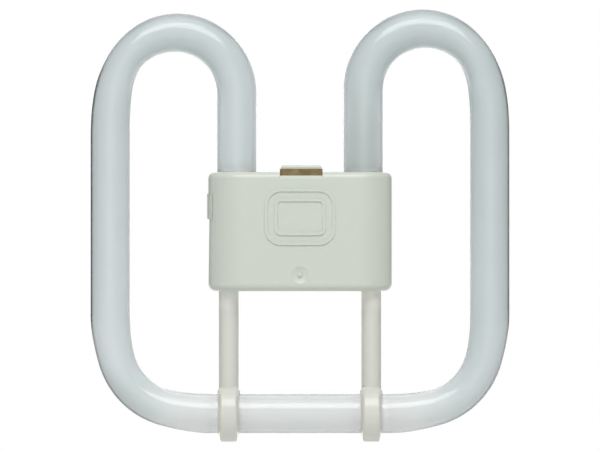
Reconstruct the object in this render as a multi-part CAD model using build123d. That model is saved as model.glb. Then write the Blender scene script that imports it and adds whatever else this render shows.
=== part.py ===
from build123d import *
import math
import os

os.makedirs("parts", exist_ok=True)

# Millimetres, +X right, +Y to the rear, +Z up. The origin is the middle of the pin pattern on
# the face that seats in the lamp holder; the front of the lamp looks along -Y.

# Housing
BLOCK_W = 59.9
BLOCK_H = 38.8
BLOCK_D = 27.5
WALL = 1.8
SOFT_R = 14.0
SOFT_TURN = 46.0
FRONT_EDGE_R = 5.5
REAR_EDGE_R = 3.4
TOP_EDGE_R = 2.1
BOTTOM_EDGE_R = 2.5
PARTING_CHAMFER = 0.2
SEAT_GAP = 0.05
RIB_T = 1.6

# Plinth that carries the pins
PLINTH_W = 25.0
PLINTH_H = 19.0
PLINTH_T = 1.2
PLINTH_CORNER_R = 3.5
PLINTH_EDGE = 0.4

# Glass tube
TUBE_D = 12.9
TUBE_HOLE_GAP = 0.25
BEDDING_T = 0.9
BEDDING_GAP = 0.15
LOOP_SPAN = 41.3
LOOP_RISE = 45.5
LOOP_STEP = 1.3
SHOULDER_TURN = 18.0
SHOULDER_RATIO = 1.55
LOOP_LEAD_TURN = 8.0
LOOP_LEAD_RATIO = 4.5
CORNER_LEAD_TURN = 15.0
CORNER_LEAD_RATIO = 2.7
RUN_PAST_CLIP = 1.95
LOOP_SQUEEZE = 0.115
LOOP_SQUEEZE_FROM = 75.0
LOOP_SQUEEZE_PEAK = 150.0
LOOP_SQUEEZE_HELD = 160.0
CORNER_SQUEEZE = 0.065
CORNER_SQUEEZE_RISE = 20.0
SQUEEZE_SPREAD = 0.4
STATION_L = 11.0

# Sealed ends of the tube
LEG_SHARE = 0.397
PRESS_TAPER = 4.0
PRESS_L = 3.0
PRESS_W = 10.4
PRESS_T = 3.0
TIP_D = 3.2
TIP_L = 3.0
CRADLE_RISE = 3.0
CRADLE_REST = 1.05

# Lug and relief on the left wall
LUG_DOWN = 7.0
LUG_H = 8.3
LUG_PROUD = 0.4
LUG_REACH = 1.4
RELIEF_DEEP = 0.45
RELIEF_SHALLOW = 0.1

# Raised frames and gate mark on the front
FRAME_DOWN = 14.6
FRAME_W = 23.0
FRAME_H = 18.4
FRAME_CORNER_R = 5.4
FRAME_LINE = 1.0
FRAME_PITCH = 3.2
FRAME_PROUD = 0.35
DISH_UP = 5.4
DISH_D = 5.6
DISH_DEEP = 0.55
NUB_D = 1.6
NUB_H = 0.6
NUB_EDGE_R = 0.4

# Catch plate and the tab behind it
CATCH_X = 0.4
CATCH_W = 13.9
CATCH_T = 1.2
CATCH_RISE = 1.0
CATCH_SILL = 1.2
CATCH_SET_BACK = 3.1
CATCH_FOOT_W = 10.0
CATCH_FOOT_L = 3.0
TAB_INSET = 0.3
TAB_ABOVE = 1.2
TAB_EDGE_R = 0.8
LIP_BEVEL = 1.0

# Alignment pegs between the halves
PEG_D = 3.0
PEG_L = 4.0
PEG_GAP = 0.1
BOSS_D = 6.4
BOSS_GAP = 0.4

# Support arms
ARM_D = 6.5
ARM_DROP = 40.0
ARM_HOLE_GAP = 0.1
FLANGE_LIP = 1.45
FLANGE_T = 2.0
FLANGE_GAP = 0.2
STUB_ABOVE_RIB = 0.35
CLIP_T = 2.75
CLIP_W = 6.9
CLIP_TAPER = 0.85
CLIP_EDGE_R = 0.8
CLIP_GAP = 0.1
CLIP_MOUTH = 100.0
COLLAR_STEP = 0.425
COLLAR_RISE = 7.9
COLLAR_EDGE_R = 0.6

# Contact pins
PIN_D = 2.35
PIN_L = 7.0
PIN_ROOT_D = 2.7
PIN_PITCH_X = 8.0
PIN_PITCH_Z = 6.0
PIN_TIP_R = 0.8
PIN_FLANGE_D = 3.8
PIN_FLANGE_T = 0.8
PIN_TAIL_D = 1.8
PIN_TAIL_L = 3.2
PIN_BORE_GAP = 0.04

# Lead wires and sleeves
WIRE_D = 0.6
WIRE_SPREAD = 3.4
WIRE_UNDER_PRESS = 3.1
WIRE_UNDER_TIP = 2.4
WIRE_BEND_R = 0.9
WIRE_IN_PIN = 2.0
SLEEVE_D = 1.6
SLEEVE_BORE_GAP = 0.05
SLEEVE_BARE = 0.8

# Levels of the housing
TOP_Z = BLOCK_H / 2
BOTTOM_Z = -BLOCK_H / 2
INNER_TOP_Z = TOP_Z - WALL
INNER_BOTTOM_Z = BOTTOM_Z + WALL
FRONT_Y = -BLOCK_D
BACK_Y = -PLINTH_T
FLOOR_Y = BACK_Y - WALL

# Places of the glass, bedded against the walls
TUBE_R = TUBE_D / 2
LEG_INSET = WALL + BEDDING_GAP + BEDDING_T + TUBE_R
INNER_LEG_X = BLOCK_W / 2 - LEG_INSET
OUTER_LEG_X = INNER_LEG_X + LOOP_SPAN
TUBE_Y = FRONT_Y + LEG_INSET
LEFT_LOOP_Z = TOP_Z + LOOP_RISE
RIGHT_LOOP_Z = LEFT_LOOP_Z + LOOP_STEP
BOTTOM_RUN_Z = BOTTOM_Z - ARM_DROP
GLASS_END_Z = TOP_Z - LEG_SHARE * BLOCK_H
PRESS_END_Z = GLASS_END_Z - PRESS_TAPER - PRESS_L
CRADLE_Z = GLASS_END_Z + CRADLE_RISE
CRADLE_TOP_Z = CRADLE_Z + RIB_T

# Places of the arms, whose flanges lie on the bottom wall
FLANGE_R = ARM_D / 2 + FLANGE_LIP
ARM_X = BLOCK_W / 2 - WALL - FLANGE_GAP - FLANGE_R
FLANGE_TOP_Z = INNER_BOTTOM_Z + FLANGE_T
KEEPER_Z = FLANGE_TOP_Z + SEAT_GAP
CLIP_OUTER_R = TUBE_R + CLIP_T

# Places of the catch plate, and of the pegs below it
CATCH_FRONT_Y = FRONT_Y + CATCH_SET_BACK
CATCH_REAR_Y = CATCH_FRONT_Y + CATCH_T
CATCH_SILL_Z = TOP_Z - CATCH_SILL
CATCH_TOP_Z = TOP_Z + CATCH_RISE
CATCH_FOOT_Z = CATCH_SILL_Z - CATCH_FOOT_L
PEG_Z = CATCH_FOOT_Z - BOSS_GAP - BOSS_D / 2

# Places of the wiring
PIN_TAIL_Y = FLOOR_Y - PIN_TAIL_L
WIRE_TURN_Y = (TUBE_Y + PIN_TAIL_Y) / 2
UPPER_TURN_Z = PRESS_END_Z - WIRE_UNDER_PRESS
LOWER_TURN_Z = PRESS_END_Z - TIP_L - WIRE_UNDER_TIP

BIG = 4 * BLOCK_W


def span_box(x0, x1, y0, y1, z0, z1):
    """Box between two corners."""
    middle = Pos((x0 + x1) / 2, (y0 + y1) / 2, (z0 + z1) / 2)
    return middle * Box(x1 - x0, y1 - y0, z1 - z0)


def rod(radius, start, end):
    """Round bar between two points on a line parallel to an axis."""
    along = Vector(*end) - Vector(*start)
    return extrude(Plane(origin=start, z_dir=along) * Circle(radius), along.length)


# Centre line of the tube, as stations (x, z, heading in degrees)
def after_arc(station, radius, turn):
    """Station at the end of an arc; a positive turn bends to the left."""
    x, z, heading = station
    side = math.copysign(1, turn)
    start = math.radians(heading)
    end = math.radians(heading + turn)
    return (
        x + side * radius * (math.sin(end) - math.sin(start)),
        z + side * radius * (math.cos(start) - math.cos(end)),
        heading + turn,
    )


def oval(station, squeeze):
    """Section of the glass across the centre line, narrowed in the plane of the lamp."""
    x, z, heading = station
    along = (math.cos(math.radians(heading)), 0, math.sin(math.radians(heading)))
    plane = Plane(origin=(x, TUBE_Y, z), x_dir=(0, 1, 0), z_dir=along)
    return plane * Ellipse(TUBE_R * (1 + SQUEEZE_SPREAD * squeeze), TUBE_R * (1 - squeeze))


def swell(turned, first, full, fading, last):
    """Smooth rise from 0 at first to 1 at full, held until fading, and fall to 0 at last."""
    if turned <= first or turned >= last:
        return 0.0
    rising = (turned - first) / (full - first)
    falling = (last - turned) / (last - fading)
    return 0.5 - 0.5 * math.cos(math.pi * min(rising, falling, 1.0))


def bend(station, arcs, squeeze_at):
    """Glass along tangent arcs (radius, turn); returns the solid and the last station."""
    edges = []
    sections = [oval(station, 0).face()]
    turned = 0.0
    for radius, turn in arcs:
        steps = math.ceil(radius * math.radians(abs(turn)) / STATION_L)
        for step in range(1, steps + 1):
            part = turn * step / steps
            squeeze = squeeze_at(turned + abs(part))
            sections.append(oval(after_arc(station, radius, part), squeeze).face())
        middle = after_arc(station, radius, turn / 2)
        end = after_arc(station, radius, turn)
        points = [(x, TUBE_Y, z) for x, z, heading in (station, middle, end)]
        edges.append(Edge.make_three_point_arc(*points))
        station = end
        turned += abs(turn)
    return Solid.sweep_multi(sections, Wire(edges)), station


def loop_arcs():
    """The tight bend over the top of a loop, the shoulder and the lead into the outer leg."""
    parts = [
        (1, 180 - SHOULDER_TURN - LOOP_LEAD_TURN),
        (SHOULDER_RATIO, SHOULDER_TURN),
        (LOOP_LEAD_RATIO, LOOP_LEAD_TURN),
    ]
    turned = 0
    share = 0
    for ratio, turn in parts:
        before = math.cos(math.radians(turned))
        turned += turn
        share += ratio * (before - math.cos(math.radians(turned)))
    radius = (OUTER_LEG_X - INNER_LEG_X) / share
    return [(ratio * radius, -turn) for ratio, turn in parts]


def corner_reach():
    """How far the corner begins from the meeting of the two straight runs."""
    straight = ARM_X + CLIP_W / 2 + RUN_PAST_CLIP
    return OUTER_LEG_X - straight


def corner_arcs():
    """Bottom corner: a gentle lead, the corner itself and the lead out."""
    lead = math.radians(CORNER_LEAD_TURN)
    lead_share = CORNER_LEAD_RATIO * (1 - math.cos(lead) + math.sin(lead))
    radius = corner_reach() / (lead_share + math.cos(lead) - math.sin(lead))
    gentle = (CORNER_LEAD_RATIO * radius, -CORNER_LEAD_TURN)
    return [gentle, (radius, 2 * CORNER_LEAD_TURN - 90), gentle]


def sealed_end():
    """Pressed foot of the glass with its exhaust tip, below the right inner leg."""
    level = Plane.XY.offset(GLASS_END_Z)
    flat_level = Plane.XY.offset(GLASS_END_Z - PRESS_TAPER)
    round_end = level * Ellipse(TUBE_R, TUBE_R)
    flat_end = flat_level * Ellipse(PRESS_W / 2, PRESS_T / 2)
    foot = loft([round_end, flat_end]) + extrude(flat_end, -PRESS_L)
    tip_end = PRESS_END_Z - TIP_L + TIP_D / 2
    tip = rod(TIP_D / 2, (0, 0, PRESS_END_Z + PRESS_L / 2), (0, 0, tip_end))
    tip += Pos(0, 0, tip_end) * Sphere(TIP_D / 2)
    return Pos(INNER_LEG_X, TUBE_Y, 0) * (foot + tip)


def half_tube(loop_z):
    """Right half of the glass, from the sealed end round to the middle of the bottom run."""
    arcs = loop_arcs()
    leg_top_z = loop_z - arcs[0][0]
    peak = LOOP_SQUEEZE_PEAK
    held = LOOP_SQUEEZE_HELD
    loop, loop_end = bend(
        (INNER_LEG_X, leg_top_z, 90.0),
        arcs,
        lambda turned: LOOP_SQUEEZE * swell(turned, LOOP_SQUEEZE_FROM, peak, held, 180),
    )
    corner_z = BOTTOM_RUN_Z + corner_reach()
    rise = CORNER_SQUEEZE_RISE
    corner, corner_end = bend(
        (OUTER_LEG_X, corner_z, -90.0),
        corner_arcs(),
        lambda turned: CORNER_SQUEEZE * swell(turned, 0, rise, 90 - rise, 90),
    )
    inner_leg = rod(
        TUBE_R, (INNER_LEG_X, TUBE_Y, GLASS_END_Z), (INNER_LEG_X, TUBE_Y, leg_top_z)
    )
    outer_leg = rod(
        TUBE_R, (OUTER_LEG_X, TUBE_Y, loop_end[1]), (OUTER_LEG_X, TUBE_Y, corner_z)
    )
    bottom = rod(TUBE_R, (corner_end[0], TUBE_Y, BOTTOM_RUN_Z), (0, TUBE_Y, BOTTOM_RUN_Z))
    return sealed_end() + inner_leg + loop + outer_leg + corner + bottom


def discharge_tube():
    return half_tube(RIGHT_LOOP_Z) + mirror(half_tube(LEFT_LOOP_Z), about=Plane.YZ)


# Housing
def block_outline():
    """Top view of the housing, with soft front corners and plain round rear ones."""
    turn = math.radians(SOFT_TURN)
    corner_dx = SOFT_R * math.sin(turn) + FRONT_EDGE_R * (1 - math.sin(turn))
    with BuildSketch() as outline:
        with BuildLine():
            front = Line((0, FRONT_Y), (BLOCK_W / 2 - corner_dx, FRONT_Y))
            soft = JernArc(front @ 1, front % 1, SOFT_R, SOFT_TURN)
            edge = JernArc(soft @ 1, soft % 1, FRONT_EDGE_R, 90 - SOFT_TURN)
            side = Line(edge @ 1, (BLOCK_W / 2, BACK_Y - REAR_EDGE_R))
            rear = JernArc(side @ 1, side % 1, REAR_EDGE_R, 90)
            Line(rear @ 1, (0, BACK_Y))
            mirror(about=Plane.YZ)
        make_face()
    return outline.sketch


def block_body():
    body = Pos(0, 0, BOTTOM_Z) * extrude(block_outline(), BLOCK_H)
    body = fillet(body.edges().group_by(Axis.Z)[-1], TOP_EDGE_R)
    return fillet(body.edges().group_by(Axis.Z)[0], BOTTOM_EDGE_R)


def left_relief():
    """Shallow tapered hollow in the left wall, from under the lug to the bottom."""
    wall_x = -BLOCK_W / 2
    under_lug_z = TOP_Z - LUG_DOWN - LUG_H
    profile = Plane.XZ * Polygon(
        (wall_x - BLOCK_W, under_lug_z),
        (wall_x + RELIEF_DEEP, under_lug_z),
        (wall_x + RELIEF_SHALLOW, BOTTOM_Z),
        (wall_x - BLOCK_W, BOTTOM_Z),
        align=None,
    )
    return extrude(profile, BIG, both=True)


def cavity():
    return Pos(0, 0, INNER_BOTTOM_Z) * extrude(
        offset(block_outline(), -WALL), BLOCK_H - 2 * WALL
    )


def front_part():
    return span_box(-BIG, BIG, -BIG, TUBE_Y, -BIG, BIG)


def rear_part():
    return span_box(-BIG, BIG, TUBE_Y, BIG, -BIG, BIG)


def chamfered_rim(half):
    """Half housing with the outside edge at the parting plane eased."""
    rim = half.edges().filter_by(lambda e: abs(e.center().Y - TUBE_Y) < SEAT_GAP)
    return chamfer(rim, PARTING_CHAMFER)


def both_sides(shape):
    return shape + mirror(shape, about=Plane.YZ)


def tube_holes():
    """Passages for the legs of the tube and for the arms, in the whole housing."""
    leg = rod(
        TUBE_R + TUBE_HOLE_GAP,
        (INNER_LEG_X, TUBE_Y, INNER_TOP_Z - WALL),
        (INNER_LEG_X, TUBE_Y, TOP_Z + WALL),
    )
    arm = rod(
        ARM_D / 2 + ARM_HOLE_GAP,
        (ARM_X, TUBE_Y, BOTTOM_Z - WALL),
        (ARM_X, TUBE_Y, INNER_BOTTOM_Z + WALL),
    )
    return both_sides(leg + arm)


def ribs():
    """Cradles for the glass and retaining ribs above the flanges of the arms."""
    reach = TUBE_R + CRADLE_REST
    cradle = span_box(
        INNER_LEG_X - reach,
        INNER_LEG_X + reach,
        FRONT_Y,
        BACK_Y,
        CRADLE_Z,
        CRADLE_TOP_Z,
    )
    cradle -= rod(
        TUBE_R + SEAT_GAP, (INNER_LEG_X, TUBE_Y, GLASS_END_Z), (INNER_LEG_X, TUBE_Y, TOP_Z)
    )
    keeper = span_box(
        ARM_X - FLANGE_R, ARM_X + FLANGE_R, FRONT_Y, BACK_Y, KEEPER_Z, KEEPER_Z + RIB_T
    )
    keeper -= rod(
        ARM_D / 2 + SEAT_GAP, (ARM_X, TUBE_Y, BOTTOM_Z), (ARM_X, TUBE_Y, GLASS_END_Z)
    )
    return both_sides(cradle + keeper) & cavity()


def bosses(front_y, rear_y):
    """Round posts for the alignment pegs, above and below the middle."""
    upper = rod(BOSS_D / 2, (0, front_y, PEG_Z), (0, rear_y, PEG_Z))
    return upper + mirror(upper, about=Plane.XY)


def pegs(radius):
    upper = rod(radius, (0, TUBE_Y, PEG_Z), (0, TUBE_Y + PEG_L, PEG_Z))
    return upper + mirror(upper, about=Plane.XY)


def raised_frames():
    """Two nested rounded frames standing on the front face."""
    front = Plane.XZ.offset(-FRONT_Y) * Pos(0, TOP_Z - FRAME_DOWN)
    raised = []
    for ring in range(2):
        inset = ring * FRAME_PITCH
        outer = RectangleRounded(
            FRAME_W - 2 * inset, FRAME_H - 2 * inset, FRAME_CORNER_R - inset
        )
        raised.append(front * (outer - offset(outer, -FRAME_LINE)))
    return extrude(Sketch() + raised, FRAME_PROUD)


def gate_dish():
    """Shallow spherical dish near the bottom of the front face."""
    radius = (DISH_D**2 / 4 + DISH_DEEP**2) / (2 * DISH_DEEP)
    return Pos(0, FRONT_Y + DISH_DEEP - radius, BOTTOM_Z + DISH_UP) * Sphere(radius)


def gate_nub():
    floor_y = FRONT_Y + DISH_DEEP
    z = BOTTOM_Z + DISH_UP
    nub = rod(NUB_D / 2, (0, floor_y + WALL / 4, z), (0, floor_y - NUB_H, z))
    return fillet(nub.edges().group_by(Axis.Y)[0], NUB_EDGE_R)


def catch_tab():
    """Tab of the cover that backs the catch plate and shows above it."""
    half = CATCH_W / 2 - TAB_INSET
    tab = span_box(
        CATCH_X - half, CATCH_X + half, CATCH_REAR_Y, TUBE_Y, INNER_TOP_Z, CATCH_TOP_Z + TAB_ABOVE
    )
    seen_edges = tab.edges().group_by(Axis.Z)[-1].sort_by(Axis.Y)[:-1]
    return fillet(seen_edges, TAB_EDGE_R)


def catch_notch():
    """Notch in the front edge, bevelled below, and the slot for the foot of the plate."""
    profile = Plane.YZ * Polygon(
        (CATCH_REAR_Y, BIG),
        (CATCH_REAR_Y, CATCH_SILL_Z),
        (FRONT_Y + LIP_BEVEL, CATCH_SILL_Z),
        (FRONT_Y - LIP_BEVEL, CATCH_SILL_Z - 2 * LIP_BEVEL),
        (FRONT_Y - LIP_BEVEL, BIG),
        align=None,
    )
    notch = Pos(CATCH_X, 0, 0) * extrude(profile, CATCH_W / 2, both=True)
    foot = CATCH_FOOT_W / 2
    slot = span_box(
        CATCH_X - foot, CATCH_X + foot, CATCH_FRONT_Y, CATCH_REAR_Y, INNER_TOP_Z - WALL, TOP_Z
    )
    return notch + slot


def catch_plate():
    """Bronze leaf on the sill of the notch, with a narrower foot through the top wall."""
    half = CATCH_W / 2
    leaf = span_box(
        CATCH_X - half, CATCH_X + half, CATCH_FRONT_Y, CATCH_REAR_Y, CATCH_SILL_Z, CATCH_TOP_Z
    )
    foot = CATCH_FOOT_W / 2
    return leaf + span_box(
        CATCH_X - foot, CATCH_X + foot, CATCH_FRONT_Y, CATCH_REAR_Y, CATCH_FOOT_Z, CATCH_SILL_Z
    )


def lug():
    """Key on the left wall, raised along the front corner and back to the parting plane."""
    under_z = TOP_Z - LUG_DOWN - LUG_H
    raised = Pos(0, 0, under_z) * extrude(offset(block_outline(), LUG_PROUD), LUG_H)
    return raised & span_box(-BIG, LUG_REACH - BLOCK_W / 2, -BIG, TUBE_Y, -BIG, BIG)


def front_cover():
    cover = chamfered_rim(block_body() & front_part()) - left_relief() - cavity()
    cover += ribs() & front_part()
    cover += bosses(FRONT_Y + WALL, TUBE_Y)
    cover += pegs(PEG_D / 2)
    cover += catch_tab()
    cover -= tube_holes()
    cover -= catch_notch()
    cover += lug()
    cover -= gate_dish()
    return cover + gate_nub() + raised_frames()


def plinth():
    face = Plane.XZ.offset(-FLOOR_Y) * RectangleRounded(PLINTH_W, PLINTH_H, PLINTH_CORNER_R)
    block = extrude(face, FLOOR_Y)
    return chamfer(block.edges().group_by(Axis.Y)[-1], PLINTH_EDGE)


def pin_places():
    """Right pair first, upper pin first in each pair."""
    x = PIN_PITCH_X / 2
    z = PIN_PITCH_Z / 2
    return [(x, z), (x, -z), (-x, z), (-x, -z)]


def rear_base():
    base = chamfered_rim(block_body() & rear_part()) - left_relief() - cavity()
    base += ribs() & rear_part()
    base += bosses(TUBE_Y, FLOOR_Y)
    base += plinth()
    base -= tube_holes()
    base -= pegs(PEG_D / 2 + PEG_GAP)
    for x, z in pin_places():
        base -= rod(PIN_ROOT_D / 2, (x, FLOOR_Y - WALL, z), (x, WALL, z))
    return base


# Contacts and wiring
def contact_pin(x, z):
    """Pin with a wider root pressed into the floor, a flange inside and a bored tail."""
    shank = rod(PIN_D / 2, (0, 0, 0), (0, PIN_L, 0))
    shank = fillet(shank.edges().group_by(Axis.Y)[-1], PIN_TIP_R)
    root = rod(PIN_ROOT_D / 2, (0, FLOOR_Y, 0), (0, 0, 0))
    flange = rod(PIN_FLANGE_D / 2, (0, FLOOR_Y - PIN_FLANGE_T, 0), (0, FLOOR_Y, 0))
    tail = rod(PIN_TAIL_D / 2, (0, PIN_TAIL_Y, 0), (0, FLOOR_Y, 0))
    bore = rod(
        WIRE_D / 2 + PIN_BORE_GAP, (0, PIN_TAIL_Y, 0), (0, PIN_TAIL_Y + WIRE_IN_PIN, 0)
    )
    return Pos(x, 0, z) * (shank + root + flange + tail - bore)


def wire_points(pin_x, pin_z, bare):
    """Corners of a lead from the pressed glass to its pin, cut short by bare at both ends.

    The inner wire turns above the tip of the glass to the upper pin, and the outer wire
    passes below the tip to the lower pin, so that the two never cross.
    """
    side = math.copysign(1, pin_x)
    if pin_z > 0:
        x = side * (INNER_LEG_X - WIRE_SPREAD)
        turn_z = UPPER_TURN_Z
    else:
        x = side * (INNER_LEG_X + WIRE_SPREAD)
        turn_z = LOWER_TURN_Z
    if bare > 0:
        end_y = PIN_TAIL_Y - bare
    else:
        end_y = PIN_TAIL_Y + WIRE_IN_PIN
    return [
        (x, TUBE_Y, PRESS_END_Z - bare),
        (x, TUBE_Y, turn_z),
        (pin_x, WIRE_TURN_Y, pin_z),
        (pin_x, end_y, pin_z),
    ]


def swept_round(points, radius):
    path = FilletPolyline(*points, radius=WIRE_BEND_R)
    return sweep(Plane(origin=path @ 0, z_dir=path % 0) * Circle(radius), path)


def lead_wire(x, z):
    return swept_round(wire_points(x, z, 0), WIRE_D / 2)


def wire_sleeve(x, z):
    points = wire_points(x, z, SLEEVE_BARE)
    return swept_round(points, SLEEVE_D / 2) - swept_round(points, WIRE_D / 2 + SLEEVE_BORE_GAP)


def tube_bedding():
    """Ring of bonding compound round the right leg, from the cradle to the top wall."""
    foot = (INNER_LEG_X, TUBE_Y, CRADLE_TOP_Z)
    head = (INNER_LEG_X, TUBE_Y, INNER_TOP_Z)
    ring = rod(TUBE_R + BEDDING_T, foot, head) & cavity()
    return ring - rod(TUBE_R, foot, head)


# Support arms
def clip_ring():
    """Ring round the bottom run, narrower at its rim, open towards the rear."""
    with BuildSketch(Plane.XY.offset(BOTTOM_RUN_Z)) as section:
        Polygon(
            (ARM_X - CLIP_W / 2, TUBE_Y - TUBE_R),
            (ARM_X + CLIP_W / 2, TUBE_Y - TUBE_R),
            (ARM_X + CLIP_W / 2 - CLIP_TAPER, TUBE_Y - CLIP_OUTER_R),
            (ARM_X - CLIP_W / 2 + CLIP_TAPER, TUBE_Y - CLIP_OUTER_R),
            align=None,
        )
        fillet(section.vertices().group_by(Axis.Y)[0], CLIP_EDGE_R)
    tube_axis = Axis((0, TUBE_Y, BOTTOM_RUN_Z), (1, 0, 0))
    return revolve(section.sketch, tube_axis, 360)


def clip_mouth():
    """Wedge taken out of the rear of the ring, so that it snaps over the glass."""
    half = math.radians(CLIP_MOUTH / 2)
    reach = 2 * CLIP_OUTER_R
    wedge = Polygon(
        (0, 0),
        (reach * math.cos(half), -reach * math.sin(half)),
        (reach * math.cos(half), reach * math.sin(half)),
        align=None,
    )
    plane = Plane(origin=(ARM_X, TUBE_Y, BOTTOM_RUN_Z), x_dir=(0, 1, 0), z_dir=(1, 0, 0))
    return extrude(plane * wedge, CLIP_W, both=True)


def support_arm():
    """Right arm: flanged head in the housing, round rod, collar and clip."""
    run = (ARM_X, TUBE_Y, BOTTOM_RUN_Z)
    stem = rod(ARM_D / 2, run, (ARM_X, TUBE_Y, KEEPER_Z + RIB_T + STUB_ABOVE_RIB))
    flange = rod(FLANGE_R, (ARM_X, TUBE_Y, INNER_BOTTOM_Z), (ARM_X, TUBE_Y, FLANGE_TOP_Z))
    collar = rod(ARM_D / 2 + COLLAR_STEP, run, (ARM_X, TUBE_Y, BOTTOM_RUN_Z + COLLAR_RISE))
    collar = fillet(collar.edges().group_by(Axis.Z)[-1], COLLAR_EDGE_R)
    ring = clip_ring() - clip_mouth()
    bore = rod(TUBE_R + CLIP_GAP, (0, TUBE_Y, BOTTOM_RUN_Z), (2 * ARM_X, TUBE_Y, BOTTOM_RUN_Z))
    return stem + flange + collar + ring - bore


# One file for each piece
def save(shape, name):
    export_step(shape, f"parts/{name}.step")


save(discharge_tube(), "discharge_tube")
save(front_cover(), "front_cover")
save(rear_base(), "rear_base")
save(catch_plate(), "catch_plate")
save(support_arm(), "support_arm_right")
save(mirror(support_arm(), about=Plane.YZ), "support_arm_left")
save(tube_bedding(), "tube_bedding_right")
save(mirror(tube_bedding(), about=Plane.YZ), "tube_bedding_left")
for number, (pin_x, pin_z) in enumerate(pin_places(), start=1):
    save(contact_pin(pin_x, pin_z), f"contact_pin_{number}")
    save(lead_wire(pin_x, pin_z), f"lead_wire_{number}")
    save(wire_sleeve(pin_x, pin_z), f"wire_sleeve_{number}")
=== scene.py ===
import math
from collections import namedtuple

import bpy
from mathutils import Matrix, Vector

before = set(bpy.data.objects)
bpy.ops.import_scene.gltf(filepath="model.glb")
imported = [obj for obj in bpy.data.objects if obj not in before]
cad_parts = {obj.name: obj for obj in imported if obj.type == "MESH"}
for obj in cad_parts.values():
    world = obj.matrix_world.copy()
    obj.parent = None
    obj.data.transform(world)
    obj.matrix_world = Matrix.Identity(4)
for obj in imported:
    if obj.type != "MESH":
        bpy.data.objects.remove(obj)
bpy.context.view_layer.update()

# Sizes are in metres and colours in linear RGB. The lamp looks along -Y and its pins point to +Y.

# Camera, straight in front of the lamp
TUBE_PLANE_Y = -0.018
VIEW_DISTANCE = 1.5
VIEW_CENTRE_Z = 0.00215
VIEW_WIDTH = 0.1959
VIEW_REACH = 20.0
SENSOR_WIDTH = 36.0

# Floor, far enough below the lamp to stay out of the main view
FLOOR_Z = -0.13
FLOOR_HALF_WIDTH = 1.5
FLOOR_FRONT_Y = -2.2
FLOOR_REAR_Y = 0.95
FLOOR_FADE = (0.22, 0.5)
FLOOR_PALE = (0.92, 0.92, 0.91)
FLOOR_DEEP = (0.89, 0.89, 0.88)
FLOOR_ROUGHNESS = 0.8
PAPER_GRAIN = 0.05

# Soft lights in front: elevation above the horizon in degrees, size and brightness of each
LIGHT_DISTANCE = 1.2
KEY = dict(elevation=47.5, height=0.67, width=1.25, radiance=4.0)
TOP = dict(elevation=76, height=0.5, width=1.25, radiance=0.3)

# Weak light that lies on the floor and shines upwards
FLOOR_LIGHT_SIZE = 0.6
FLOOR_LIGHT_RADIANCE = 0.05
FLOOR_LIGHT_LIFT = 0.002

# Lit card close behind the lamp, unseen by the camera
CARD_Y = 0.06
CARD_SIZE = 0.2
CARD_RADIANCE = 0.7

# Light of the studio by direction; the spans are parts of a unit vector
FRONT_LIGHT = 0.60
REAR_LIGHT = 0.28
SIDE_LIGHT = 0.05
FRONT_TO_REAR = (-0.3, 0.6)
SIDE_SPAN = (0.38, 0.85)
MIRRORED_SIDE_SPAN = (0.15, 0.5)

# Places on the lamp, from the origin
HOUSING_TOP = 0.0196
HOUSING_BOTTOM = -0.0195
ARM_X = 0.0235
RUN_TOP = -0.056
BEND_CENTRE_X = 0.0289
BEND_CENTRE_Z = -0.0264

# Heights between which the glass changes
LAMP_HEIGHT = (-0.075, 0.075)
CROWN_HEIGHT = (0.045, 0.065)
CROWN_RIM_HEIGHT = (0.060, 0.070)
LEG_EDGE_HEIGHT = (0.040, 0.056)
GREY_LEG_HEIGHT = (0.020, 0.060)
HIDDEN_HEIGHT = (-0.010, 0.0)
ABOVE_HOUSING = (HOUSING_TOP, HOUSING_TOP + 0.0014)
BELOW_HOUSING_TOP = (HOUSING_TOP - 0.002, HOUSING_TOP - 0.001)
BEND_HEIGHT = (-0.062, -0.040)
OVER_RUN = (RUN_TOP + 0.004, RUN_TOP + 0.012)
OVER_RUN_RIM = (RUN_TOP + 0.006, RUN_TOP + 0.012)
RUN_RIM_HEIGHT = (RUN_TOP, RUN_TOP + 0.0025)

# Distances from the middle of the lamp between which the glass changes, equal on both sides
INNER_LEG_SPAN = (0.024, 0.036)
HOUSED_LEG_SPAN = (0.033, 0.037)
WARM_RUN_SPAN = (0.036, 0.052)
RUN_RIM_SPAN = (0.036, 0.048)
RUN_TO_BEND = (0.036, 0.056)

# The same from left to right
COAT_SIDES = (-0.020, 0.050)
RIM_SIDES = (-0.040, 0.060)
HOUSED_SIDES = (-0.010, 0.010)
RIGHT_LEG_START = (0.005, 0.012)
RIGHT_LEG_END = (0.028, 0.045)
LEFT_BEND = (-0.064, -0.040)
RIGHT_BEND = (0.045, 0.064)

# Distances from the middle of a clip, and outwards from the centres of the low bends
CLIP_REACH = (0.0025, 0.0060)
OUTER_WALL = (0.0335, 0.0375)

# How far the glass turns from the eye: 0 face on, 1 edge on
SIDE_EDGE = (0.45, 0.75)
CROWN_EDGE = (0.15, 0.65)
WIDE_EDGE = (0.05, 0.60)

# Powder inside the glass, as colours, most of them used to paint light and shade
COAT_IN_PAINTED_SHADE = (0.53, 0.585, 0.588)
COAT_IN_PAINTED_LIGHT = (0.68, 0.72, 0.735)
WARM_RUN_COAT = (0.665, 0.675, 0.67)
GREY_AND_SHADE_COAT = (0.475, 0.525, 0.515)
PAINTED_LIGHT_IN_SHADE_COAT = (0.90, 0.91, 0.91)
RIM_PAINTED_SHADE = (0.12, 0.135, 0.135)

# Share of the pale coat by height, which paints light low down; painted shade that takes from it in the
# loops and on the right; and its speckle
FOOT_PAINTED_LIGHT = 0.62
CROWN_PAINTED_LIGHT = 0.33
LOOP_PAINTED_SHADE = 0.25
RIGHT_PAINTED_SHADE = 0.24
SPECKLE = 0.02

# Shares of the other coats, most of them painted light or shade
WARM_RUN_SHARE = 0.75
RIGHT_BEND_SHADE = 0.1
HOUSED_PAINTED_LIGHT = 0.8
HOUSED_RIGHT_PAINTED_LIGHT = 0.5
LEG_EDGE_PAINTED_LIGHT = 0.9
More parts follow.
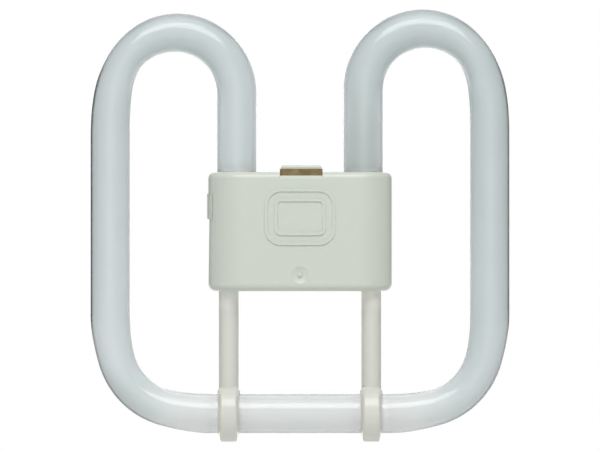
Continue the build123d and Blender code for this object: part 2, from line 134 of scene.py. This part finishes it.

# Shares of the painted shade on the rims
INNER_RIM_SHARE = 0.15
RIGHT_RIM_SHARE = 0.7
RUN_RIM_SHARE = 0.15
RUN_TOP_SHARE = 0.7
CROWN_RIM_SHARE = 0.35

# Glass over the powder, with a slight wave
GLASS_ROUGHNESS = 0.12
GLASS_SCATTER = 0.012
POWDER_GRAIN = 0.011
WAVE_GRAIN = 0.009
WAVE_DEPTH = 0.000005

# Moulded plastic, with painted light at the top of the arms, where the housing shades them
HOUSING_FINISH = dict(roughness=0.29, grain=0.00035, depth=0.000012)
ARM_FINISH = dict(roughness=0.24, grain=0.0006, depth=0.000005)
PLASTIC_CLOUD_GRAIN = 0.018
WEAR_GRAIN = 0.004
WEAR_SMOOTHER = 0.015
WEAR_ROUGHER = 0.02
HOUSING_PALE = (0.595, 0.635, 0.562)
HOUSING_DEEP = (0.583, 0.623, 0.551)
ARM_PALE = (0.652, 0.657, 0.600)
ARM_DEEP = (0.638, 0.643, 0.588)
ARM_PAINTED_LIGHT = (0.86, 0.865, 0.80)
ARM_PAINTED_LIGHT_HEIGHT = (HOUSING_BOTTOM - 0.0075, HOUSING_BOTTOM - 0.001)

# Bronze strip with rolled lines
BRONZE_PALE = (0.295, 0.232, 0.12)
BRONZE_DEEP = (0.21, 0.16, 0.076)
BRONZE_SMOOTH = 0.34
BRONZE_ROUGH = 0.5
PATINA_GRAIN = 0.0025
PATINA_SPAN = (0.35, 0.7)
LINE_GRAIN = 0.0004
LINE_STRETCH = (0.06, 1.0, 1.0)
LINE_DEPTH = 0.000006

# Turned pins and drawn wires
BRASS_PALE = (0.80, 0.66, 0.40)
BRASS_DEEP = (0.66, 0.52, 0.29)
BRASS_FINISH = dict(roughness=0.22, ring=0.00012)
WIRE_PALE = (0.74, 0.72, 0.69)
WIRE_DEEP = (0.60, 0.58, 0.55)
WIRE_FINISH = dict(roughness=0.30, ring=0.0002)
TARNISH_GRAIN = 0.0016
RING_STRETCH = (0.02, 1.0, 0.02)
RING_ROUGHER = 0.12
RING_DEPTH = 0.000004

# Woven sleeves; the turn of the strands is in degrees and their scale is the wave texture's own
SLEEVE_PALE = (0.72, 0.70, 0.64)
SLEEVE_DEEP = (0.48, 0.46, 0.40)
SLEEVE_ROUGHNESS = 0.62
STRAND_TURN = 40
STRAND_SCALE = 700.0
STRAND_DISTORTION = 0.4
PLAIT_DEPTH = 0.00004

# Bedding cement
CEMENT_PALE = (0.66, 0.64, 0.58)
CEMENT_DEEP = (0.46, 0.44, 0.39)
CEMENT_ROUGHNESS = 0.85
LUMP_GRAIN = 0.0012
LUMP_DEPTH = 0.00012

# Refractive index, the same for glass and plastic
IOR = 1.5

# Values that most of a noise pattern lies between
NOISE_SPAN = (0.3, 0.7)

Spot = namedtuple("Spot", "across up from_middle")


# Node helpers
def link(tree, output, socket):
    tree.links.new(output, socket)


def node(tree, kind, **settings):
    made = tree.nodes.new(kind)
    for key, value in settings.items():
        setattr(made, key, value)
    return made


def fill(tree, socket, value):
    """Set a socket to a plain number or colour, or link it to another socket."""
    if isinstance(value, (int, float)):
        socket.default_value = value
    elif isinstance(value, tuple):
        socket.default_value = (*value, 1.0)
    else:
        link(tree, value, socket)


def math_node(tree, operation, *values):
    """Maths on sockets or plain numbers; returns the result socket."""
    made = node(tree, "ShaderNodeMath", operation=operation)
    for socket, value in zip(made.inputs, values):
        fill(tree, socket, value)
    return made.outputs[0]


def product(tree, result, *factors):
    for factor in factors:
        result = math_node(tree, "MULTIPLY", result, factor)
    return result


def ramp_value(tree, value, span, low, high):
    """Smooth change from low to high while value goes through the span."""
    made = node(tree, "ShaderNodeMapRange", interpolation_type="SMOOTHSTEP")
    link(tree, value, made.inputs["Value"])
    made.inputs["From Min"].default_value = span[0]
    made.inputs["From Max"].default_value = span[1]
    made.inputs["To Min"].default_value = low
    made.inputs["To Max"].default_value = high
    return made.outputs["Result"]


def mix(tree, kind, share, first, second):
    """First where the share is 0 and second where it is 1; kind is FLOAT or RGBA."""
    made = node(tree, "ShaderNodeMix", data_type=kind)
    link(tree, share, made.inputs["Factor"])
    fill(tree, made.inputs["A"], first)
    fill(tree, made.inputs["B"], second)
    return made.outputs["Result"]


def mix_value(tree, share, first, second):
    return mix(tree, "FLOAT", share, first, second)


def mix_colour(tree, share, first, second):
    return mix(tree, "RGBA", share, first, second)


def axes(tree, vector):
    parts = node(tree, "ShaderNodeSeparateXYZ")
    link(tree, vector, parts.inputs[0])
    return parts.outputs["X"], parts.outputs["Y"], parts.outputs["Z"]


def vector_length(tree, vector):
    made = node(tree, "ShaderNodeVectorMath", operation="LENGTH")
    link(tree, vector, made.inputs[0])
    return made.outputs["Value"]


def noise(tree, place, grain, detail=2.0, stretch=None):
    """Noise whose features are about grain metres across, longer along a stretched axis."""
    if stretch is not None:
        scaled = node(tree, "ShaderNodeMapping")
        link(tree, place, scaled.inputs["Vector"])
        scaled.inputs["Scale"].default_value = stretch
        place = scaled.outputs["Vector"]
    made = node(tree, "ShaderNodeTexNoise")
    link(tree, place, made.inputs["Vector"])
    made.inputs["Scale"].default_value = 1.0 / grain
    made.inputs["Detail"].default_value = detail
    return made.outputs["Fac"]


def bump(tree, shader, height, depth):
    """Relief of the given depth in metres from a height between 0 and 1."""
    made = node(tree, "ShaderNodeBump")
    made.inputs["Strength"].default_value = 1.0
    made.inputs["Distance"].default_value = depth
    link(tree, height, made.inputs["Height"])
    link(tree, made.outputs["Normal"], shader.inputs["Normal"])


def new_material(name, metallic=0.0):
    """Material with its shader and the place on the object, which is in metres from the origin."""
    material = bpy.data.materials.new(name)
    material.use_nodes = True
    tree = material.node_tree
    shader = tree.nodes["Principled BSDF"]
    shader.inputs["Metallic"].default_value = metallic
    shader.inputs["IOR"].default_value = IOR
    place = node(tree, "ShaderNodeTexCoord").outputs["Object"]
    return material, tree, shader, place


# Glass
def powder_coat(tree, place, spot):
    """Powder inside the glass, with painted light low down and painted shade in the loops and on the
    right; the speckle is the powder's own.
    """
    cloud = noise(tree, place, POWDER_GRAIN, detail=4.0)
    speckle = ramp_value(tree, cloud, NOISE_SPAN, -SPECKLE, SPECKLE)
    light_by_height = ramp_value(tree, spot.up, LAMP_HEIGHT, FOOT_PAINTED_LIGHT, CROWN_PAINTED_LIGHT)
    loop_shade = ramp_value(tree, spot.up, CROWN_HEIGHT, 0.0, LOOP_PAINTED_SHADE)
    right_shade = ramp_value(tree, spot.across, COAT_SIDES, 0.0, RIGHT_PAINTED_SHADE)
    share = math_node(tree, "SUBTRACT", light_by_height, loop_shade)
    share = math_node(tree, "ADD", share, speckle)
    share = math_node(tree, "SUBTRACT", share, right_shade)
    return mix_colour(tree, share, COAT_IN_PAINTED_SHADE, COAT_IN_PAINTED_LIGHT)


def warmer_run(tree, spot, powder):
    """Warmer, paler colour along the middle of the level run."""
    share = product(
        tree,
        ramp_value(tree, spot.from_middle, WARM_RUN_SPAN, WARM_RUN_SHARE, 0.0),
        ramp_value(tree, spot.up, OVER_RUN, 1.0, 0.0),
    )
    return mix_colour(tree, share, powder, WARM_RUN_COAT)


def grey_leg_and_bend_shade(tree, spot, powder):
    """Greyer colour in the right inner leg, and painted shade in the two low bends."""
    right_leg = product(
        tree,
        ramp_value(tree, spot.across, RIGHT_LEG_START, 0.0, 1.0),
        ramp_value(tree, spot.across, RIGHT_LEG_END, 1.0, 0.0),
        ramp_value(tree, spot.up, HIDDEN_HEIGHT, 0.0, 1.0),
        ramp_value(tree, spot.up, GREY_LEG_HEIGHT, 1.0, 0.0),
    )
    left_bend = ramp_value(tree, spot.across, LEFT_BEND, 1.0, 0.0)
    right_bend = ramp_value(tree, spot.across, RIGHT_BEND, 0.0, RIGHT_BEND_SHADE)
    bends = product(
        tree,
        math_node(tree, "ADD", left_bend, right_bend),
        ramp_value(tree, spot.up, BEND_HEIGHT, 1.0, 0.0),
    )
    return mix_colour(tree, math_node(tree, "ADD", right_leg, bends), powder, GREY_AND_SHADE_COAT)


def paint_light_into_shade(tree, spot, powder):
    """Painted light close to the clips and just above the housing, where the glass is shaded."""
    from_arm = math_node(tree, "ABSOLUTE", math_node(tree, "SUBTRACT", spot.from_middle, ARM_X))
    clip_painted_light = product(
        tree,
        ramp_value(tree, from_arm, CLIP_REACH, 1.0, 0.0),
        ramp_value(tree, spot.up, OVER_RUN, 1.0, 0.0),
    )
    housing_painted_light = product(
        tree,
        ramp_value(tree, spot.up, ABOVE_HOUSING, HOUSED_PAINTED_LIGHT, 0.0),
        ramp_value(tree, spot.up, BELOW_HOUSING_TOP, 0.0, 1.0),
        ramp_value(tree, spot.from_middle, HOUSED_LEG_SPAN, 1.0, 0.0),
        ramp_value(tree, spot.across, HOUSED_SIDES, 1.0, HOUSED_RIGHT_PAINTED_LIGHT),
    )
    return mix_colour(tree, math_node(tree, "ADD", clip_painted_light, housing_painted_light), powder, PAINTED_LIGHT_IN_SHADE_COAT)


def edge_share(tree, span):
    """Rises from 0 to 1 as the surface turns from the eye."""
    turned = node(tree, "ShaderNodeLayerWeight")
    turned.inputs["Blend"].default_value = 0.5
    return ramp_value(tree, turned.outputs["Facing"], span, 0.0, 1.0)


def painted_light_on_leg_edges(tree, spot, powder):
    """Painted light towards both sides of the inner legs."""
    share = product(
        tree,
        edge_share(tree, WIDE_EDGE),
        ramp_value(tree, spot.from_middle, INNER_LEG_SPAN, 1.0, 0.0),
        ramp_value(tree, spot.up, LEG_EDGE_HEIGHT, LEG_EDGE_PAINTED_LIGHT, 0.0),
        ramp_value(tree, spot.up, HIDDEN_HEIGHT, 0.0, 1.0),
    )
    return mix_colour(tree, share, powder, COAT_IN_PAINTED_LIGHT)


def outward_reach(tree, spot):
    """Distance outwards from the centre of a low bend, or from the upright line above it."""
    sideways = math_node(tree, "SUBTRACT", spot.from_middle, BEND_CENTRE_X)
    downwards = math_node(tree, "SUBTRACT", BEND_CENTRE_Z, spot.up)
    reach = node(tree, "ShaderNodeCombineXYZ")
    link(tree, math_node(tree, "MAXIMUM", sideways, 0.0), reach.inputs["X"])
    link(tree, math_node(tree, "MAXIMUM", downwards, 0.0), reach.inputs["Z"])
    return vector_length(tree, reach.outputs[0])


def painted_shade_on_rims(tree, spot, powder):
    """Painted shade on the rim where the wall is seen edge on: outer side, top of the level run, loops.
    """
    outer_side = product(
        tree,
        ramp_value(tree, outward_reach(tree, spot), OUTER_WALL, INNER_RIM_SHARE, 1.0),
        ramp_value(tree, spot.across, RIM_SIDES, 1.0, RIGHT_RIM_SHARE),
        ramp_value(tree, spot.from_middle, RUN_TO_BEND, RUN_RIM_SHARE, 1.0),
    )
    run_top = product(
        tree,
        ramp_value(tree, spot.up, RUN_RIM_HEIGHT, 0.0, RUN_TOP_SHARE),
        ramp_value(tree, spot.from_middle, RUN_RIM_SPAN, 1.0, 0.0),
        ramp_value(tree, spot.up, OVER_RUN_RIM, 1.0, 0.0),
    )
    side_share = math_node(tree, "MAXIMUM", outer_side, run_top)
    side_rim_shade = product(tree, edge_share(tree, SIDE_EDGE), side_share)
    crown_share = ramp_value(tree, spot.up, CROWN_RIM_HEIGHT, 0.0, CROWN_RIM_SHARE)
    crown_rim_shade = product(tree, edge_share(tree, CROWN_EDGE), crown_share)
    return mix_colour(tree, math_node(tree, "MAXIMUM", side_rim_shade, crown_rim_shade), powder, RIM_PAINTED_SHADE)


def coated_glass():
    """Glass over a white powder coating, which scatters the light; its colour also holds painted light
    and shade.
    """
    material, tree, shader, place = new_material("coated_glass")
    across, _, up = axes(tree, place)
    spot = Spot(across, up, math_node(tree, "ABSOLUTE", across))
    powder = powder_coat(tree, place, spot)
    for change in (warmer_run, grey_leg_and_bend_shade, paint_light_into_shade, painted_light_on_leg_edges, painted_shade_on_rims):
        powder = change(tree, spot, powder)
    link(tree, powder, shader.inputs["Base Color"])
    shader.inputs["Roughness"].default_value = GLASS_ROUGHNESS
    shader.inputs["Subsurface Weight"].default_value = 1.0
    shader.inputs["Subsurface Radius"].default_value = (1.0, 1.0, 1.0)
    shader.inputs["Subsurface Scale"].default_value = GLASS_SCATTER
    bump(tree, shader, noise(tree, place, WAVE_GRAIN, detail=0.0), WAVE_DEPTH)
    return material


# Plastic, metal, sleeve and cement
def moulded_plastic(name, pale, deep, roughness, grain, depth, top=None):
    """Moulded plastic with slight cloudiness and an eroded tool texture; top is painted light at the
    upper end, where the housing shades it.
    """
    material, tree, shader, place = new_material(name)
    colour = mix_colour(tree, noise(tree, place, PLASTIC_CLOUD_GRAIN, detail=3.0), deep, pale)
    if top is not None:
        painted_light_share = ramp_value(tree, axes(tree, place)[2], ARM_PAINTED_LIGHT_HEIGHT, 0.0, 1.0)
        colour = mix_colour(tree, painted_light_share, colour, top)
    link(tree, colour, shader.inputs["Base Color"])
    wear = noise(tree, place, WEAR_GRAIN)
    worn = ramp_value(tree, wear, NOISE_SPAN, roughness - WEAR_SMOOTHER, roughness + WEAR_ROUGHER)
    link(tree, worn, shader.inputs["Roughness"])
    bump(tree, shader, noise(tree, place, grain, detail=1.0), depth)
    return material


def bronze_plate():
    """Rolled strip with a brown patina and fine lines along its width."""
    material, tree, shader, place = new_material("bronze_plate", metallic=1.0)
    lines = noise(tree, place, LINE_GRAIN, stretch=LINE_STRETCH)
    patina = ramp_value(tree, noise(tree, place, PATINA_GRAIN, detail=4.0), PATINA_SPAN, 0.0, 1.0)
    link(tree, mix_colour(tree, patina, BRONZE_DEEP, BRONZE_PALE), shader.inputs["Base Color"])
    rough = ramp_value(tree, lines, NOISE_SPAN, BRONZE_SMOOTH, BRONZE_ROUGH)
    link(tree, rough, shader.inputs["Roughness"])
    bump(tree, shader, lines, LINE_DEPTH)
    return material


def turned_metal(name, pale, deep, roughness, ring):
    """Bright metal with fine turning rings along Y."""
    material, tree, shader, place = new_material(name, metallic=1.0)
    rings = noise(tree, place, ring, stretch=RING_STRETCH)
    tarnish = noise(tree, place, TARNISH_GRAIN, detail=3.0)
    link(tree, mix_colour(tree, tarnish, deep, pale), shader.inputs["Base Color"])
    rough = ramp_value(tree, rings, NOISE_SPAN, roughness, roughness + RING_ROUGHER)
    link(tree, rough, shader.inputs["Roughness"])
    bump(tree, shader, rings, RING_DEPTH)
    return material


def woven_sleeve():
    """Glass fibre sleeve with a fine plait of strands turned both ways."""
    material, tree, shader, place = new_material("sleeve_plastic")
    heights = []
    for angle in (STRAND_TURN, -STRAND_TURN):
        turned = node(tree, "ShaderNodeMapping")
        turned.inputs["Rotation"].default_value = (0, math.radians(angle), 0)
        link(tree, place, turned.inputs["Vector"])
        strands = node(tree, "ShaderNodeTexWave", bands_direction="X")
        strands.inputs["Scale"].default_value = STRAND_SCALE
        strands.inputs["Distortion"].default_value = STRAND_DISTORTION
        link(tree, turned.outputs["Vector"], strands.inputs["Vector"])
        heights.append(strands.outputs["Fac"])
    plait = math_node(tree, "MAXIMUM", *heights)
    link(tree, mix_colour(tree, plait, SLEEVE_DEEP, SLEEVE_PALE), shader.inputs["Base Color"])
    shader.inputs["Roughness"].default_value = SLEEVE_ROUGHNESS
    bump(tree, shader, plait, PLAIT_DEPTH)
    return material


def bedding_compound():
    """Pale cement with pores."""
    material, tree, shader, place = new_material("bedding_compound")
    lumps = noise(tree, place, LUMP_GRAIN, detail=5.0)
    link(tree, mix_colour(tree, lumps, CEMENT_DEEP, CEMENT_PALE), shader.inputs["Base Color"])
    shader.inputs["Roughness"].default_value = CEMENT_ROUGHNESS
    bump(tree, shader, lumps, LUMP_DEPTH)
    return material


# Finishes of the CAD pieces, by the start of their names
glass = coated_glass()
housing = moulded_plastic("cream_plastic", HOUSING_PALE, HOUSING_DEEP, **HOUSING_FINISH)
arms = moulded_plastic("arm_plastic", ARM_PALE, ARM_DEEP, top=ARM_PAINTED_LIGHT, **ARM_FINISH)

FINISHES = {
    "discharge_tube": glass,
    "front_cover": housing,
    "rear_base": housing,
    "catch_plate": bronze_plate(),
    "support_arm": arms,
    "contact_pin": turned_metal("pin_brass", BRASS_PALE, BRASS_DEEP, **BRASS_FINISH),
    "lead_wire": turned_metal("wire_metal", WIRE_PALE, WIRE_DEEP, **WIRE_FINISH),
    "wire_sleeve": woven_sleeve(),
    "tube_bedding": bedding_compound(),
}

for name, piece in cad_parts.items():
    for start, material in FINISHES.items():
        if name.startswith(start):
            piece.data.materials.clear()
            piece.data.materials.append(material)


# Kinds of rays
def mirrored_rays(tree):
    """1 for rays that come off gloss or through glass, else 0."""
    path = node(tree, "ShaderNodeLightPath")
    return math_node(tree, "MAXIMUM", path.outputs["Is Glossy Ray"], path.outputs["Is Transmission Ray"])


def seen_rays(tree):
    """1 for rays from the camera and for mirrored ones, else 0."""
    path = node(tree, "ShaderNodeLightPath")
    return math_node(tree, "MAXIMUM", path.outputs["Is Camera Ray"], mirrored_rays(tree))


# Floor
def floor_paper():
    """Pale paper, white far from the lamp to the eye and in reflections, like the backdrop."""
    material, tree, shader, place = new_material("floor_paper")
    paper = noise(tree, place, PAPER_GRAIN, detail=3.0)
    link(tree, mix_colour(tree, paper, FLOOR_DEEP, FLOOR_PALE), shader.inputs["Base Color"])
    shader.inputs["Roughness"].default_value = FLOOR_ROUGHNESS
    far = ramp_value(tree, vector_length(tree, place), FLOOR_FADE, 0.0, 1.0)
    white = node(tree, "ShaderNodeEmission")
    blend = node(tree, "ShaderNodeMixShader")
    link(tree, product(tree, far, seen_rays(tree)), blend.inputs[0])
    link(tree, shader.outputs["BSDF"], blend.inputs[1])
    link(tree, white.outputs["Emission"], blend.inputs[2])
    link(tree, blend.outputs["Shader"], tree.nodes["Material Output"].inputs["Surface"])
    return material


def studio_floor():
    corners = [
        (-FLOOR_HALF_WIDTH, FLOOR_FRONT_Y, FLOOR_Z),
        (FLOOR_HALF_WIDTH, FLOOR_FRONT_Y, FLOOR_Z),
        (FLOOR_HALF_WIDTH, FLOOR_REAR_Y, FLOOR_Z),
        (-FLOOR_HALF_WIDTH, FLOOR_REAR_Y, FLOOR_Z),
    ]
    mesh = bpy.data.meshes.new("studio_floor")
    mesh.from_pydata(corners, [], [(0, 1, 2, 3)])
    mesh.materials.append(floor_paper())
    floor = bpy.data.objects.new("studio_floor", mesh)
    bpy.context.scene.collection.objects.link(floor)


studio_floor()


# Lights
def area_light(name, height, width, radiance, place, away):
    """Rectangular light that shines against the direction away."""
    data = bpy.data.lights.new(name, "AREA")
    data.shape = "RECTANGLE"
    data.size = width
    data.size_y = height
    data.energy = radiance * math.pi * width * height
    light = bpy.data.objects.new(name, data)
    light.location = place
    light.rotation_euler = away.to_track_quat("Z", "Y").to_euler()
    bpy.context.scene.collection.objects.link(light)
    return light


def soft_light(name, elevation, height, width, radiance):
    """Light in front of the lamp, raised by elevation and turned to the lamp."""
    raised = math.radians(elevation)
    away = Vector((0, -math.cos(raised), math.sin(raised)))
    place = Vector((0, TUBE_PLANE_Y, 0)) + LIGHT_DISTANCE * away
    area_light(name, height, width, radiance, place, away)


def unseen_light(name, size, radiance, place, away):
    """Square light that the camera doesn't see."""
    light = area_light(name, size, size, radiance, place, away)
    light.visible_camera = False


soft_light("key_light", **KEY)
soft_light("top_light", **TOP)
floor_light_place = Vector((0, TUBE_PLANE_Y, FLOOR_Z + FLOOR_LIGHT_LIFT))
unseen_light("floor_light", FLOOR_LIGHT_SIZE, FLOOR_LIGHT_RADIANCE, floor_light_place, Vector((0, 0, -1)))
unseen_light("rear_card", CARD_SIZE, CARD_RADIANCE, Vector((0, CARD_Y, 0)), Vector((0, 1, 0)))


# World
def studio_world():
    """White backdrop for the camera; soft light from the front, dim at both sides."""
    world = bpy.data.worlds.new("studio")
    bpy.context.scene.world = world
    world.use_nodes = True
    tree = world.node_tree
    background = tree.nodes["Background"]
    direction = node(tree, "ShaderNodeTexCoord").outputs["Generated"]
    across, ahead, _ = axes(tree, direction)
    sideways = math_node(tree, "ABSOLUTE", across)
    by_depth = ramp_value(tree, ahead, FRONT_TO_REAR, FRONT_LIGHT, REAR_LIGHT)
    light = mix_value(tree, ramp_value(tree, sideways, SIDE_SPAN, 0.0, 1.0), by_depth, SIDE_LIGHT)
    flagged = ramp_value(tree, sideways, MIRRORED_SIDE_SPAN, 0.0, 1.0)
    mirrored = mix_value(tree, flagged, 1.0, SIDE_LIGHT)
    unseen = mix_value(tree, mirrored_rays(tree), light, mirrored)
    path = node(tree, "ShaderNodeLightPath")
    shown = mix_value(tree, path.outputs["Is Camera Ray"], unseen, 1.0)
    link(tree, shown, background.inputs["Strength"])
    background.inputs["Color"].default_value = (1.0, 1.0, 1.0, 1.0)


studio_world()


# Camera
camera_data = bpy.data.cameras.new("camera")
camera_data.sensor_width = SENSOR_WIDTH
camera_data.lens = SENSOR_WIDTH * VIEW_DISTANCE / VIEW_WIDTH
camera_data.clip_end = VIEW_REACH
camera = bpy.data.objects.new("camera", camera_data)
camera.location = (0, TUBE_PLANE_Y - VIEW_DISTANCE, VIEW_CENTRE_Z)
camera.rotation_euler = (math.radians(90), 0, 0)
bpy.context.scene.collection.objects.link(camera)
bpy.context.scene.camera = camera
bpy.context.scene.view_settings.view_transform = "Standard"
